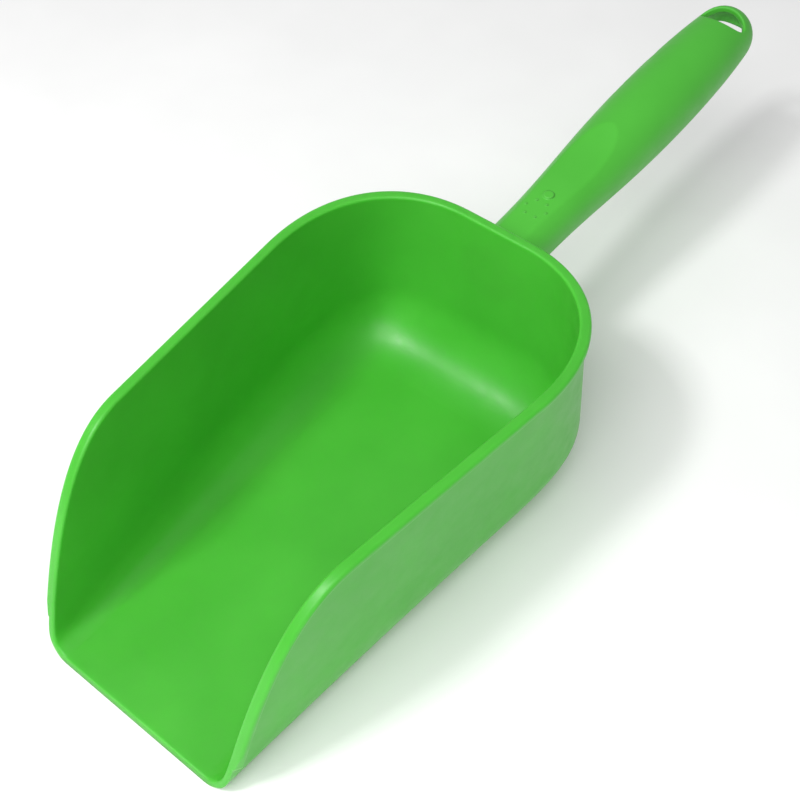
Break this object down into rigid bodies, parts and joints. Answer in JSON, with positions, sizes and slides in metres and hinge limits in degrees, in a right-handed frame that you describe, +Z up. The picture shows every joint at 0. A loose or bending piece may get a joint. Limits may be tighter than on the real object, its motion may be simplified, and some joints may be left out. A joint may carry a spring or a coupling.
{
  "type": "feed scoop",
  "caption": "Moulded plastic feed scoop with a deep round-backed bowl, swept side walls, a rim flange and a barrel grip that ends in a hanging eye.",
  "frame": {"origin": "centre of the flat underside that the scoop stands on", "axes": "+Z up out of the bowl, +Y from the front lip to the end of the grip, +X to the right"},
  "size_m": [0.1274, 0.394, 0.0876],
  "materials": {
    "bowl": "injection moulded polypropylene, satin",
    "grip": "injection moulded polypropylene, satin"
  },
  "bodies": {
    "root": {"bowl": "bowl", "grip_shell": "grip", "grip_cover": "grip"}
  },
  "joints": []
}
